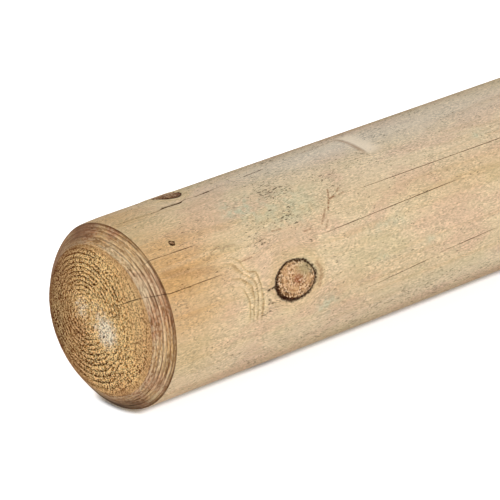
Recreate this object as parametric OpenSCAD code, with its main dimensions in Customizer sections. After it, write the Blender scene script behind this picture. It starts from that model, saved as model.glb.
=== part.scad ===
// Round wooden post: one length of softwood, machine-turned to a single diameter,
// sawn square at both ends and chamfered round each end. It stands on its foot,
// with the origin at the middle of the foot face and +Z up along the axis.

/* [Shaft] */
// Diameter of the turned shaft, in mm
shaft_d = 100; // [60:1:200]
// Length from the foot face to the top face, in mm
post_l = 1500; // [600:10:4000]

/* [Top end] */
// Width of the top chamfer, square to the axis, in mm
top_chamfer_w = 9.5; // [3:0.5:20]
// Height of the top chamfer, along the axis, in mm
top_chamfer_h = 8.5; // [3:0.5:20]

/* [Foot end] */
// Width of the foot chamfer, square to the axis, in mm
foot_chamfer_w = 9.5; // [3:0.5:20]
// Height of the foot chamfer, along the axis, in mm
foot_chamfer_h = 8.5; // [3:0.5:20]

/* [Edges] */
// Radius that softens the edge where a chamfer meets the shaft, in mm
shoulder_r = 2; // [1:0.5:12]
// Radius that softens the edge where a chamfer meets an end face, in mm
brow_r = 4; // [1:0.5:12]

/* [Hidden] */

shaft_r = shaft_d / 2;

// Straight facets that follow each softened edge
edge_steps = 5;
// Most of a chamfer's slope that one softened edge may take
edge_share = 0.45;
// Facets of the preview around the shaft
round_fn = 180;

// Length of a chamfer's slope
function slope_l(w, h) = norm([w, h]);

// Unit vector from point a towards point b
function heading(a, b) = (b - a) / norm(b - a);

// Half of the corner's inside angle at b
function half_angle(a, b, c) = acos(heading(b, a) * heading(b, c)) / 2;

// Radius that keeps a softened corner within its share of the chamfer's slope
function limited_r(r, a, b, c, slope) =
    min(r, edge_share * slope * tan(half_angle(a, b, c)));

// Points of the arc of radius r that rounds corner b between a and c
function softened(a, b, c, r) =
    let (
        half = half_angle(a, b, c),
        inward = heading(b, a) + heading(b, c),
        centre = b + inward / norm(inward) * r / sin(half),
        start = b + heading(b, a) * r / tan(half) - centre,
        finish = b + heading(b, c) * r / tan(half) - centre,
        from_deg = atan2(start[1], start[0]),
        turn = atan2(start[0] * finish[1] - start[1] * finish[0], start * finish)
    )
    [for (i = [0 : edge_steps])
        let (deg = from_deg + turn * i / edge_steps)
        centre + r * [cos(deg), sin(deg)]];

// Half of the post's section, from the foot's centre up to the top's centre, as [radius, height]
function post_profile() =
    let (
        foot_mid = [0, 0],
        foot_brow = [shaft_r - foot_chamfer_w, 0],
        foot_shoulder = [shaft_r, foot_chamfer_h],
        top_shoulder = [shaft_r, post_l - top_chamfer_h],
        top_brow = [shaft_r - top_chamfer_w, post_l],
        top_mid = [0, post_l],
        foot_slope = slope_l(foot_chamfer_w, foot_chamfer_h),
        top_slope = slope_l(top_chamfer_w, top_chamfer_h)
    )
    concat(
        [foot_mid],
        softened(foot_mid, foot_brow, foot_shoulder,
            limited_r(brow_r, foot_mid, foot_brow, foot_shoulder, foot_slope)),
        softened(foot_brow, foot_shoulder, top_shoulder,
            limited_r(shoulder_r, foot_brow, foot_shoulder, top_shoulder, foot_slope)),
        softened(foot_shoulder, top_shoulder, top_brow,
            limited_r(shoulder_r, foot_shoulder, top_shoulder, top_brow, top_slope)),
        softened(top_shoulder, top_brow, top_mid,
            limited_r(brow_r, top_shoulder, top_brow, top_mid, top_slope)),
        [top_mid]
    );

// The whole post, one piece of timber turned about its own axis
module post() {
    color([0.84, 0.72, 0.56])
        rotate_extrude($fn = round_fn)
            polygon(post_profile());
}

post();
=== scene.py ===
import math

import bpy
import numpy as np
from mathutils import Matrix, Vector, noise


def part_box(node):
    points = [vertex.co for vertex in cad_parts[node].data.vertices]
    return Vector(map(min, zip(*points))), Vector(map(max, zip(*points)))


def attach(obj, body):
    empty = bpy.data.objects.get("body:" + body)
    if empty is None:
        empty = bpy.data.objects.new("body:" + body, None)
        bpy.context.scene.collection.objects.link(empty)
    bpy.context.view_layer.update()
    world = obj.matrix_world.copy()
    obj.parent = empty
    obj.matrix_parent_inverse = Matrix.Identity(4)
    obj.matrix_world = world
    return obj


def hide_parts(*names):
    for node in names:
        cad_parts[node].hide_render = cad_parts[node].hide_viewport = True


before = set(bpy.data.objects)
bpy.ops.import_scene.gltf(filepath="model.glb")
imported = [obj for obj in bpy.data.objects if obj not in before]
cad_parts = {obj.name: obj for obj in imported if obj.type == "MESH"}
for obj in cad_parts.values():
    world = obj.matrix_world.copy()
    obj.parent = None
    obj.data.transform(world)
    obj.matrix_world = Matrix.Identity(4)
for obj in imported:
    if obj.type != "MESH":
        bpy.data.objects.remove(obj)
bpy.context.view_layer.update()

scene = bpy.context.scene
scene.view_settings.view_transform = "Standard"

# shape code works in millimetres and is scaled once, when the mesh is made
mm = 0.001
lowCorner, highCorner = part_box("post")
postRadius = (highCorner.x - lowCorner.x) / 2 / mm
postLength = highCorner.z / mm
perDegree = math.radians(1) * postRadius        # millimetres round the shaft

# Places on the post: "along" is millimetres down from the rim of the top chamfer (negative runs over the
# chamfer and the end face towards the middle), "around" is degrees from +X towards -Y.


def table(columns, *rows):
    # rows of values under named columns, as a list of dictionaries
    return [dict(zip(columns.split(), row)) for row in rows]


def unit(v):
    return v / np.linalg.norm(v)


def turnBetween(angles, middle):
    return (angles - middle + 180) % 360 - 180


def smoothStep(value, low, high):
    t = np.clip((value - low) / (high - low), 0, 1)
    return t * t * (3 - 2 * t)


def hump(value, middle, width):
    return np.exp(-((value - middle) / width) ** 2)


def blob(along, angles, spot, power=2.0):
    a = np.abs(along - spot["along"]) / spot["length"]
    b = np.abs(turnBetween(angles, spot["around"])) / spot["width"]
    return np.exp(-(a ** 2 + b ** 2) ** (power / 2))


def noiseField(x, y, z, octaves=1):
    x, y, z = np.broadcast_arrays(x, y, z)
    flat = zip(x.ravel().tolist(), y.ravel().tolist(), z.ravel().tolist())
    if octaves == 1:
        values = [noise.noise(p) for p in flat]
    else:
        values = [noise.fractal(p, 1.0, 2.1, octaves) for p in flat]    # falloff, spacing of octaves
    return np.array(values).reshape(x.shape)


outline = {
    "topChamfer": (9.5, 8.5),       # width, height
    "footChamfer": (9.5, 8.5),
    "shoulderRadius": 2.0,          # softened edge between chamfer and shaft
    "browRadius": 4.0,              # softened edge between chamfer and end face
    "arcSteps": 24,
    "normalReach": 0.3,             # the normal is taken between places this far to both sides
    "shaftFade": (-1.5, 4.0),       # along, where the shaft's own marks begin
}


def softCorner(before, corner, after, radius, steps):
    toBefore, toAfter = unit(before - corner), unit(after - corner)
    half = math.acos(float(toBefore @ toAfter)) / 2
    centre = corner + unit(toBefore + toAfter) * radius / math.sin(half)
    start = corner + toBefore * radius / math.tan(half) - centre
    finish = corner + toAfter * radius / math.tan(half) - centre
    first = math.atan2(start[1], start[0])
    turn = math.atan2(start[0] * finish[1] - start[1] * finish[0], float(start @ finish))
    angles = first + turn * np.linspace(0, 1, steps + 1)
    return centre + radius * np.stack([np.cos(angles), np.sin(angles)], 1)


def makeProfile():
    # half section as (radius, height) from the top's middle over the rim down to the foot's middle
    topW, topH = outline["topChamfer"]
    footW, footH = outline["footChamfer"]
    brow, shoulder = outline["browRadius"], outline["shoulderRadius"]
    corners = [np.array(c, float) for c in (
        (0, postLength), (postRadius - topW, postLength), (postRadius, postLength - topH),
        (postRadius, footH), (postRadius - footW, 0), (0, 0))]
    points, edgePoints = [corners[0][None]], []
    for k, radius in enumerate((brow, shoulder, shoulder, brow)):
        arc = softCorner(*corners[k:k + 3], radius, outline["arcSteps"])
        points.append(arc)
        edgePoints.append(arc[len(arc) // 2])
    points = np.concatenate(points + [corners[-1][None]])
    run = np.concatenate([[0], np.cumsum(np.linalg.norm(np.diff(points, axis=0), axis=1))])
    # run length at the middle of each softened edge, where one surface gives way to the next
    edges = [float(run[np.argmin(np.linalg.norm(points - p, axis=1))]) for p in edgePoints]
    return points, run, edges


profilePoints, profileRun, profileEdges = makeProfile()
topBrow, topShoulder, footShoulder, footBrow = profileEdges


def onProfile(run):
    # places on the half section and their outward normals
    reach = outline["normalReach"]
    at, ahead, behind = [
        np.stack([np.interp(run + shift, profileRun, profilePoints[:, k]) for k in (0, 1)], -1)
        for shift in (0, reach, -reach)]
    tangent = ahead - behind
    tangent /= np.linalg.norm(tangent, axis=-1, keepdims=True)
    return at, np.stack([-tangent[..., 1], tangent[..., 0]], -1)


def alongOf(at):
    rimZ = postLength - outline["topChamfer"][1]
    return np.where(at[..., 1] > rimZ, at[..., 0] - postRadius, rimZ - at[..., 1])


# numbers of the materials, in the order that the post gets them
sideWood, chamferWood, endWood = 0, 1, 2


def surfaceAt(runs):
    onEnd = (runs < topBrow) | (runs > footBrow)
    onSide = (runs > topShoulder) & (runs < footShoulder)
    return np.where(onEnd, endWood, np.where(onSide, sideWood, chamferWood))


# knots: half sizes along and around, tone (0 pale sound wood, 1 dark), the heart's offset, the split at one
# side, depth of the groove, thickness of the bark, ragged edge, and the spacing of the mesh rows there
knots = table(
    "along around halfLength halfWidth tone heart spike groove bark ragged rowStep",
    (83.3, 77.3, 14.6, 11.2, 0.0, (1.5, -0.6), 0.04, 0.8, 1.6, 0.03, 0.68),
    (50.5, -17.5, 7.6, 9.4, 1.0, (5, 4), 0.1, 0.5, 1.1, 0.1, 0.85),
    (18.7, 30.6, 2.1, 1.8, 0.7, (0.4, 0.3), 0.25, 0.25, 0.8, 0.3, 0.6),
    (92, 172, 12, 9.5, 0.3, (2, 1), 0.2, 0.5, 1.2, 0.06, 3.2),
    (66, 248, 10, 8.5, 0.15, (-1, 1), 0.2, 0.5, 1.1, 0.06, 3.2),
    (452, 18, 13, 10.5, 0.1, (2, 0), 0.3, 0.5, 1.2, 0.06, 3.2),
    (438, 118, 11, 9, 0.2, (1, 1), 0.2, 0.5, 1.1, 0.06, 3.2),
    (461, 236, 14, 11, 0.0, (2, -1), 0.3, 0.6, 1.3, 0.06, 3.2),
    (812, 64, 12, 10, 0.0, (1, 1), 0.3, 0.5, 1.2, 0.06, 3.2),
    (800, 158, 9, 7.5, 0.6, (0, 0), 0.1, 0.4, 1.1, 0.08, 3.2),
    (826, 300, 13, 10, 0.1, (-2, 1), 0.3, 0.5, 1.2, 0.06, 3.2),
    (1168, 350, 12, 9.5, 0.1, (1, 0), 0.2, 0.5, 1.2, 0.06, 3.2),
    (1150, 100, 14, 11, 0.0, (2, 1), 0.3, 0.6, 1.3, 0.06, 3.2),
    (1176, 214, 10, 8, 0.4, (0, 1), 0.2, 0.5, 1.1, 0.06, 3.2),
)

# spacing of the mesh rows on each stretch of the half section
rowSteps = {
    "endFace": 0.95,
    "chamfer": 0.60,
    "edgeMargin": 2.5,              # the chamfer's rows run this far past its edges
    "shaft": 2.5,
    "figured": 0.85,
    "figuredFrom": 30.0,            # closer rows where the rings show as arcs beside the large knot
    "figuredTo": 66.0,
    "farShaft": 18.0,
    "farFrom": 300.0,
    "knotReach": (1.15, 1.0),       # a knot's rows: share of its half length, and millimetres more
    "footChamfer": 1.6,
    "footFace": 2.2,
    "lastShare": 0.6,               # least part of a step left before the foot's middle
}


def rowStepAt(run):
    at, _ = onProfile(np.array(run))
    along = float(alongOf(at))
    margin = rowSteps["edgeMargin"]
    if run < topBrow - margin:
        return rowSteps["endFace"]
    if run < topShoulder + margin:
        return rowSteps["chamfer"]
    if run > footBrow + margin:
        return rowSteps["footFace"]
    if run > footShoulder - margin:
        return rowSteps["footChamfer"]
    step = rowSteps["shaft"] if along < rowSteps["farFrom"] else rowSteps["farShaft"]
    if rowSteps["figuredFrom"] < along < rowSteps["figuredTo"]:
        step = rowSteps["figured"]
    share, more = rowSteps["knotReach"]
    for knot in knots:
        if abs(along - knot["along"]) < knot["halfLength"] * share + more:
            step = min(step, knot["rowStep"])
    return step


def makeRows():
    runs = [rowSteps["endFace"]]
    while True:
        following = runs[-1] + rowStepAt(runs[-1])
        if following > profileRun[-1] - rowSteps["footFace"] * rowSteps["lastShare"]:
            return np.array(runs)
        runs.append(following)


# lines that the grain follows; the mesh columns run along them, so a check is a real groove
seams = table(
    "name columns path",
    ("top", 20, [(0, 0.5), (31, 1.8), (35, 0.1), (46, 0.9), (50, -0.7), (57, 0.1), (66, -0.6), (76, -1.5),
                 (82, -0.4), (300, -2), (1480, -7)]),
    ("upper", 10, [(0, 36.1), (30, 36.6), (60, 40.5), (100, 41), (145, 38.2), (252, 38.4), (1480, 31)]),
    ("middle", 56, [(-50, 46), (-31, 47.3), (-24, 50.9), (-10, 54.5), (-4, 57), (2, 58.7), (32, 58.7),
                    (110, 56.6), (200, 54), (1480, 49)]),
    ("lower", 24, [(0, 101), (135, 99.6), (180, 95.7), (190, 94), (226, 92), (1480, 87)]),
    ("under", 28, [(-10, 146), (-2, 141.5), (300, 140), (1480, 134)]),
    ("backLow", 32, [(0, 205), (400, 203), (1480, 197)]),
    ("back", 19, [(0, 278), (400, 276), (1480, 269)]),
    ("backTop", 40, [(0, 318), (400, 316), (1480, 310)]),
)

# drying checks, each on one seam
checks = table(
    "seam start end width depth dark",
    ("top", -3, 86, 0.7, 1.0, 0.6), ("top", 32, 49, 2.1, 2.2, 1.0), ("top", 55, 69, 2.0, 2.0, 1.0),
    ("upper", -5, 32, 0.5, 0.8, 0.62), ("middle", -33, -8, 0.6, 1.6, 1.0),
    ("middle", -12, 38, 0.42, 1.0, 0.6), ("upper", 142, 300, 0.5, 0.9, 0.72),
    ("middle", 108, 212, 0.46, 1.0, 0.66), ("lower", 130, 183, 0.55, 0.9, 0.78),
    ("lower", 186, 232, 0.48, 0.8, 0.7), ("under", -9, -1, 0.6, 0.9, 0.85),
    ("back", -20, -11, 0.45, 0.8, 0.7), ("backLow", 30, 330, 0.8, 2.6, 0.9),
    ("backTop", 240, 560, 0.6, 1.6, 0.8), ("back", 420, 900, 0.9, 3.0, 0.95),
    ("top", 520, 840, 0.65, 1.6, 0.8), ("upper", 640, 1010, 0.65, 1.8, 0.85),
    ("lower", 380, 760, 0.7, 1.9, 0.85), ("middle", 980, 1360, 0.6, 1.6, 0.8),
    ("under", 700, 1180, 0.7, 2.2, 0.9), ("backLow", 1080, 1478, 0.7, 2.4, 0.9),
)

checkForm = {
    "closed": 0.16,                 # half width of a seam without a check
    "taper": (6, 0.7),              # how soon and how bluntly a check opens from its tips
    "uneven": (0.75, 0.45),         # middle and swing of its depth and width
    "unevenScale": (0.11, 3.7),     # along one check, and from check to check
    "seed": 1.3,
    "darker": 1.2,                  # darkness follows the unevenness times this, up to full
    "leastRadius": 4,               # nearer the end's middle the lips open no wider angle than here
}


def checkShape(along, seamName):
    form = checkForm
    depth, half, dark = np.zeros_like(along), np.full_like(along, form["closed"]), np.zeros_like(along)
    for k, check in enumerate(checks):
        if check["seam"] != seamName:
            continue
        t = (along - check["start"]) / (check["end"] - check["start"])
        inside = (t > 0) & (t < 1)
        soon, power = form["taper"]
        taper = np.clip(np.minimum(t, 1 - t) * soon, 0, 1) ** power * inside
        middle, swing = form["uneven"]
        alongScale, checkScale = form["unevenScale"]
        uneven = middle + swing * noiseField(along * alongScale, k * checkScale, form["seed"])
        depth = np.maximum(depth, check["depth"] * taper * uneven)
        half = np.maximum(half, check["width"] / 2 * taper * uneven)
        dark = np.maximum(dark, check["dark"] * taper * np.clip(uneven * form["darker"], 0, 1))
    return depth, half, dark


def makeGrid():
    runs = makeRows()
    at, normal = onProfile(runs)
    along = alongOf(at)
    radius = np.maximum(at[:, 0], checkForm["leastRadius"])
    paths = [np.interp(along, *zip(*seam["path"])) for seam in seams]
    shapes = [checkShape(along, seam["name"]) for seam in seams]
    level = np.zeros_like(along)
    angles, cut, shade = [], [], []
    for k, seam in enumerate(seams):
        after = (k + 1) % len(seams)
        here, there = paths[k], paths[after] + (0 if after else 360)
        depth, half, dark = shapes[k]
        # middle and right lip of the seam, the columns on to the next seam, then that one's left lip
        shares = np.linspace(0, 1, seam["columns"] + 2)[1:-1]
        angles += [here, here + np.degrees(half / radius)]
        angles += [here + (there - here) * share for share in shares]
        angles.append(there - np.degrees(shapes[after][1] / radius))
        cut += [depth] + [level] * (seam["columns"] + 2)
        shade += [dark] + [level] * (seam["columns"] + 2)
    return runs, at, normal, along, np.stack(angles, 1), np.stack(cut, 1), np.stack(shade, 1)


knotForm = {
    "far": 8.0,                     # distance where there is no knot, in half sizes of a knot
    "reach": 6,                     # a knot acts over this many of its half sizes
    "noBark": 0.1,                  # thickness of the bark where there is no knot
    "raggedScale": 2.2,
    "seedStep": 5.1,                # from knot to knot
    "spikeTurn": 0.07,              # half width of the split, in radians
    "lowSide": (-0.6, 0.8, 0.2),    # direction of the lower side (along, around), and its soft middle
    "parting": (0.72, 0.6, 0.5),    # share that the grain parts, and how fast that fades along and around
    "bowl": (0.86, 0.2, 0.30),      # from, to, height of the sound wood
    "ditch": (0.95, 0.075),         # middle and half width of the groove in the bark
    "swell": (1.25, 0.28, 0.25),    # middle, half width and height of the wood round it
}


def knotFields(along, angles):
    # for the nearest knot: distance (1 at the bark's outside), distance from its heart, lower side, kind
    form = knotForm
    empty = np.zeros(angles.shape)
    found = {"distance": empty + form["far"], "heart": empty + form["far"], "low": empty, "tone": empty,
             "bark": empty + form["noBark"], "groove": empty}
    lowAlong, lowAround, softMiddle = form["lowSide"]
    for k, knot in enumerate(knots):
        dx = along - knot["along"]
        dy = turnBetween(angles, knot["around"]) * perDegree
        nx, ny = dx / knot["halfLength"], dy / knot["halfWidth"]
        near = (np.abs(nx) < form["reach"]) & (np.abs(ny) < form["reach"])
        way = np.arctan2(ny, nx)
        scale = form["raggedScale"]
        seed = k * form["seedStep"]
        wobble = noiseField(np.cos(way) * scale, np.sin(way) * scale, seed, 3) * knot["ragged"]
        spike = knot["spike"] * hump(np.abs(way), math.pi, form["spikeTurn"])
        d = np.hypot(nx, ny) / (1 + wobble + spike)
        hx, hy = knot["heart"]
        values = {
            "distance": d,
            "heart": np.hypot((dx - hx) / knot["halfLength"], (dy - hy) / knot["halfWidth"]),
            "low": (lowAround * ny + lowAlong * nx) / np.maximum(np.hypot(nx, ny), softMiddle),
            "tone": knot["tone"],
            "bark": knot["bark"] / knot["halfWidth"],
            "groove": knot["groove"],
        }
        closer = near & (d < found["distance"])
        found = {name: np.where(closer, values[name], found[name]) for name in found}
    return found


def fibreAngles(along, angles):
    # grain lines part and run round each knot
    share, fadeAlong, fadeAround = knotForm["parting"]
    for knot in knots:
        nx = (along - knot["along"]) / knot["halfLength"]
        dy = turnBetween(angles, knot["around"]) * perDegree
        ny = dy / knot["halfWidth"]
        angles = angles - share * dy * np.exp(-fadeAlong * nx ** 2 - fadeAround * ny ** 2) / perDegree
    return angles


# growth of the tree; a flame is a place where the rings come to the surface as arcs
growth = {
    "pithAt": (0.7, 12.0),          # x, y at the top end
    "pithWander": 3.2,
    "pithWaves": ((7.1, 0.4), (5.3, 2.0)),      # x and y: radians down the post, and where they start
    "evensOut": 0.6,                # the outer rings lie closer to the post's own middle, by this share
    "evensFrom": 0.4,               # share of the radius where that begins
    "ringWidths": [(0, 2.6), (46, 2.7), (54, 2.0), (66, 1.8)],     # (distance from the pith, width)
    "tightSide": (260, 0.08),       # rings lie closer on this side, by this share
    "ringTable": (1.5, 300),        # rings are counted out to this many radii, in this many steps
    "taper": 0.0045,                # a ring lies this much further out for each mm down the post
    "wobble": 0.55,
    "wobbleScale": (0.055, 0.006),  # across and along
    "lateRise": (0.35, 0.9),        # shares of a year's ring where its late wood begins and ends
    "lateFall": (0.93, 1.0),
    "knotLift": (1.6, 1.7),         # rings bow out round a knot: by how much and how far
    "knotFigure": (0.35, 1.3, 0.4),     # strength, middle and width of the arcs close to a knot
    "flameScale": (0.10, 0.07, 3.3),    # unevenness of the arcs, along and around, and its seed
    "flameRim": 1.05,               # in half sizes of the flame, where its rings start to rise
    "flameFade": (1.15, 1.0),       # the arcs fade at the rim, round the heart, at the tip and at the sides
    "flameHeart": (-0.08, 0.06),
    "flameTip": 0.7,
    "flameSides": (6, 8),
    "flames": table(
        "along around length width lift inner figure uneven shown",
        (35, 86, 26, 40, 4.8, 0.46, 1.0, 0.11, (-34, 2)),
        (330, 20, 150, 18, 3.0, 0.0, 0.5, 0.1, (-60, 60)),
        (640, 85, 210, 20, 4.0, 0.0, 0.6, 0.1, (-60, 60)),
        (980, 330, 190, 20, 3.6, 0.0, 0.5, 0.1, (-60, 60)),
        (700, 220, 230, 22, 4.0, 0.0, 0.6, 0.1, (-60, 60)),
        (1250, 40, 170, 20, 3.6, 0.0, 0.5, 0.1, (-60, 60)),
        (260, 165, 140, 20, 3.0, 0.0, 0.5, 0.1, (-60, 60)),
    ),
}


def flameFigure(flame, reach, along, aside):
    # how plainly a flame's arcs show
    heartIn, heartOut = growth["flameHeart"]
    leftFade, rightFade = growth["flameSides"]
    left, right = flame["shown"]
    return (flame["figure"] * smoothStep(reach, *growth["flameFade"])
            * smoothStep(reach, flame["inner"] + heartIn, flame["inner"] + heartOut)
            * smoothStep(along, flame["along"], flame["along"] + flame["length"] * growth["flameTip"])
            * smoothStep(aside, left - leftFade, left + leftFade)
            * smoothStep(aside, right + rightFade, right))


def ringField(x, y, z, along, angles, knotDistance, onShaft):
    # ring count from the pith outwards, and how plainly the rings show on the shaft
    lean = (postLength - z) / postLength
    pithX, pithY = [
        start + growth["pithWander"] * (np.sin(lean * turns + first) - math.sin(first))
        for start, (turns, first) in zip(growth["pithAt"], growth["pithWaves"])]
    evensFrom = postRadius * growth["evensFrom"]
    offCentre = 1 - growth["evensOut"] * smoothStep(np.hypot(x, y), evensFrom, postRadius)
    depth = np.hypot(x - pithX * offCentre, y - pithY * offCentre) + growth["taper"] * (z - postLength)
    tightAround, tightShare = growth["tightSide"]
    depth = depth * (1 + tightShare * np.clip(np.cos(np.radians(angles - tightAround)), 0, 1) ** 2)
    across, down = growth["wobbleScale"]
    depth = np.maximum(depth + growth["wobble"] * noiseField(x * across, y * across, z * down, 2), 0)
    tableReach, tableSteps = growth["ringTable"]
    radii = np.linspace(0, postRadius * tableReach, tableSteps)
    counts = np.cumsum(np.gradient(radii) / np.interp(radii, *zip(*growth["ringWidths"])))
    phase = np.interp(depth, radii, counts)
    liftBy, liftReach = growth["knotLift"]
    lift = liftBy * hump(knotDistance, 0, liftReach)
    strength, middle, width = growth["knotFigure"]
    figure = strength * hump(knotDistance, middle, width)
    scaleAlong, scaleAround, seed = growth["flameScale"]
    rim = growth["flameRim"]
    for flame in growth["flames"]:
        aside = turnBetween(angles, flame["around"])
        reach = np.hypot((along - flame["along"]) / flame["length"], aside / flame["width"])
        reach = reach + flame["uneven"] * noiseField(along * scaleAlong, aside * scaleAround, seed, 2)
        lift = lift + flame["lift"] * np.clip((rim - reach) / (rim - flame["inner"]), 0, 1)
        figure = np.maximum(figure, flameFigure(flame, reach, along, aside))
    return phase - lift * onShaft, figure * onShaft


def lateWood(phase):
    part = phase - np.floor(phase)
    return smoothStep(part, *growth["lateRise"]) * (1 - smoothStep(part, *growth["lateFall"]))


# soft stains, dull strips that are partly painted shade, and places with many flecks on the shaft: half
# sizes along (mm) and around (degrees)
spotColumns = "along around length width strength"
stainEdge = 2.6                     # above 2 a stain is flatter, with a steeper edge
stains = {
    "warm": table(
        spotColumns,
        (6, 52, 38, 38, 1.0), (4, -14, 26, 20, 0.75), (2, 108, 32, 26, 0.28), (225, 48, 60, 16, 0.3),
        (640, 200, 120, 30, 0.6), (1020, 20, 160, 28, 0.5), (560, 95, 120, 24, 0.5),
        (1300, 150, 110, 30, 0.6), (330, 290, 130, 30, 0.6)),
    "grey": table(
        spotColumns,
        (120, -2, 62, 15, 0.9), (225, -1, 90, 17, 1.0), (180, 118, 200, 12, 0.4),
        (215, 26, 95, 20, 0.35), (700, 330, 260, 30, 0.6), (1150, 180, 260, 40, 0.5),
        (900, 60, 200, 25, 0.4)),
    "green": table(
        spotColumns,
        (69, 22, 12, 9, 0.75), (94, 32, 24, 16, 0.45), (105, 101, 8, 8, 0.65), (152, 64, 16, 6, 0.4),
        (145, 83, 5, 4, 0.5), (180, 83, 4, 3, 0.5), (240, 31, 5, 4, 0.7), (91, 71.5, 6, 5, 0.9),
        (520, 150, 60, 16, 0.5), (700, 40, 50, 14, 0.45), (980, 250, 70, 18, 0.5),
        (1280, 80, 60, 16, 0.5), (300, 200, 60, 16, 0.5)),
    # dull weathered strips; the one along the upper side at -32 and the one at 142 on the lower side are
    # painted shade
    "dull": table(
        spotColumns,
        (160, -32, 300, 15, 0.75), (240, 142, 240, 14, 0.45), (620, 262, 260, 22, 0.4),
        (1080, 130, 280, 24, 0.4), (1380, 20, 160, 30, 0.4)),
    "flecked": table(
        spotColumns,
        (94, 20, 12, 11, 1.0), (90, 40, 12, 9, 0.8), (67, 48, 6, 5, 0.8), (132, 23, 9, 8, 0.7),
        (98, 1, 13, 6, 0.7), (185, 4, 14, 8, 0.6), (158, 12, 9, 8, 0.6), (150, -19, 150, 13, 0.85),
        (170, 130, 170, 18, 0.75), (62, 87, 9, 9, 0.6), (36, 42, 7, 5, 0.5), (505, 60, 60, 22, 0.5),
        (930, 120, 80, 26, 0.5), (380, 250, 70, 24, 0.6), (1100, 300, 90, 26, 0.5)),
}

# a skip of the rounding knives: its curved upper edge, and the pale wood below it that fades out
planedSkip = {
    "along": 166,
    "around": 2,
    "length": 14,
    "width": 18,
    "curve": 2.0,
    "sink": 0.25,
    "fullWidth": 0.5,               # share of the width that isn't fading
    "fullLength": 6.0,              # past this far from the edge it fades
    "edge": 0.8,                    # half width of the line at its edge
    "start": (-0.3, 0.8),           # the sunk wood begins over this stretch past the edge
}

# patches of the sawn end as (x, y, size, strength), in shares of the radius; x runs to -Y and y to +X
endPatches = {
    "pale": [(-0.29, 0.05, 0.15, 0.72), (0.1, -0.1, 0.18, 1.35), (-0.02, 0.15, 0.12, 0.35)],
    "red": [(-0.36, -0.2, 0.2, 0.9), (-0.35, -0.62, 0.16, 0.7), (0.35, -0.68, 0.2, 0.7),
            (-0.6, 0.3, 0.25, 0.6), (0.75, 0.0, 0.12, 0.7), (0.7, -0.28, 0.14, 0.7),
            (0.72, 0.24, 0.12, 0.5)],
    "smooth": [(0.56, 0.28, 0.18, 0.9), (0.45, 0.5, 0.18, 0.8), (0.6, 0.05, 0.13, 0.9),
               (0.58, -0.16, 0.12, 0.7), (0.2, 0.74, 0.16, 0.6), (0.68, 0.52, 0.15, 0.8),
               (0.5, 0.72, 0.13, 0.5), (0.8, -0.48, 0.24, 0.45)],
    "clear": [(-0.3, 0.52, 0.32, 1.0), (-0.1, -0.54, 0.36, 0.9), (-0.5, -0.2, 0.26, 0.5),
              (0.2, 0.32, 0.3, 0.5)],
    # dark patches towards the left of the end and the chamfer: partly darker wood, partly painted shade
    "darkAndShade": [(-0.75, 0.34, 0.4, 0.9), (-0.72, -0.25, 0.38, 0.8), (-0.4, -0.72, 0.3, 0.5),
             (-0.46, 0.88, 0.26, 1.0), (-0.84, -0.48, 0.26, 0.8)],
}

# the rim of the chamfer: it lies low on one side, is darker on another from soil and painted shade, and on
# the far side the chamfer keeps less of the dark, shaded patches
lowRim = {"along": -2, "around": -57, "length": 9, "width": 28, "sink": 1.5}
rimSoilAndShade = {"around": 176, "width": 52, "fullWidth": 0.3, "along": -1, "reach": 12.0}
shadeFreeRim = {"around": 238, "from": 46, "to": 26, "share": 0.8}

surfaceRelief = {
    "outOfRound": 0.22,
    "outOfRoundScale": (1.3, 190),  # noise scale round the shaft, and millimetres along
    "roughSize": 1.3,
    "sawnRoughness": 0.16,
    "ringRelief": 0.096,            # soft early wood lies this much lower on the sawn end
    "millRelief": 0.12,
    "millRoughness": 0.05,
    "millPitch": 1.35,              # lines round the chamfer, by radius
    "millWander": (0.9, 7.7),       # noise scale and seed
    "rimWidth": 1.1,                # how far the edges of the chamfer are marked
    "browWidth": 4.5,
    "sharpAngle": 38,
}


def skipFields(along, angles):
    # pale wood of the skip, and the line at its edge
    skip = planedSkip
    across = turnBetween(angles, skip["around"]) / skip["width"]
    pastEdge = along - skip["along"] - skip["curve"] * across ** 2
    mask = smoothStep(np.abs(across), 1.0, skip["fullWidth"])
    inside = smoothStep(pastEdge, *skip["start"]) * smoothStep(pastEdge, skip["length"], skip["fullLength"])
    return mask * inside, mask * hump(pastEdge, 0, skip["edge"])


def endFields(x, y, along, angles, onChamfer):
    # patches of the sawn end, and soil with painted shade on the lower rim
    across, up = -y / postRadius, x / postRadius
    fields = {}
    for kind, spots in endPatches.items():
        fields[kind] = sum(strength * np.exp(-((across - u) ** 2 + (up - v) ** 2) / size ** 2)
                           for u, v, size, strength in spots)
    # the chamfer keeps less of the dark, shaded patches on its far side
    shadeFree = smoothStep(np.abs(turnBetween(angles, shadeFreeRim["around"])), shadeFreeRim["from"], shadeFreeRim["to"])
    fields["darkAndShade"] = fields["darkAndShade"] * (1 - shadeFreeRim["share"] * onChamfer * shadeFree)
    # soil and painted shade on the lower rim, fading away from the rim
    aside = np.abs(turnBetween(angles, rimSoilAndShade["around"]))
    soiledAndShaded = smoothStep(aside, rimSoilAndShade["width"], rimSoilAndShade["width"] * rimSoilAndShade["fullWidth"])
    fields["soilAndShade"] = soiledAndShaded * smoothStep(np.abs(along - rimSoilAndShade["along"]), rimSoilAndShade["reach"], 0)
    return fields


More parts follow.
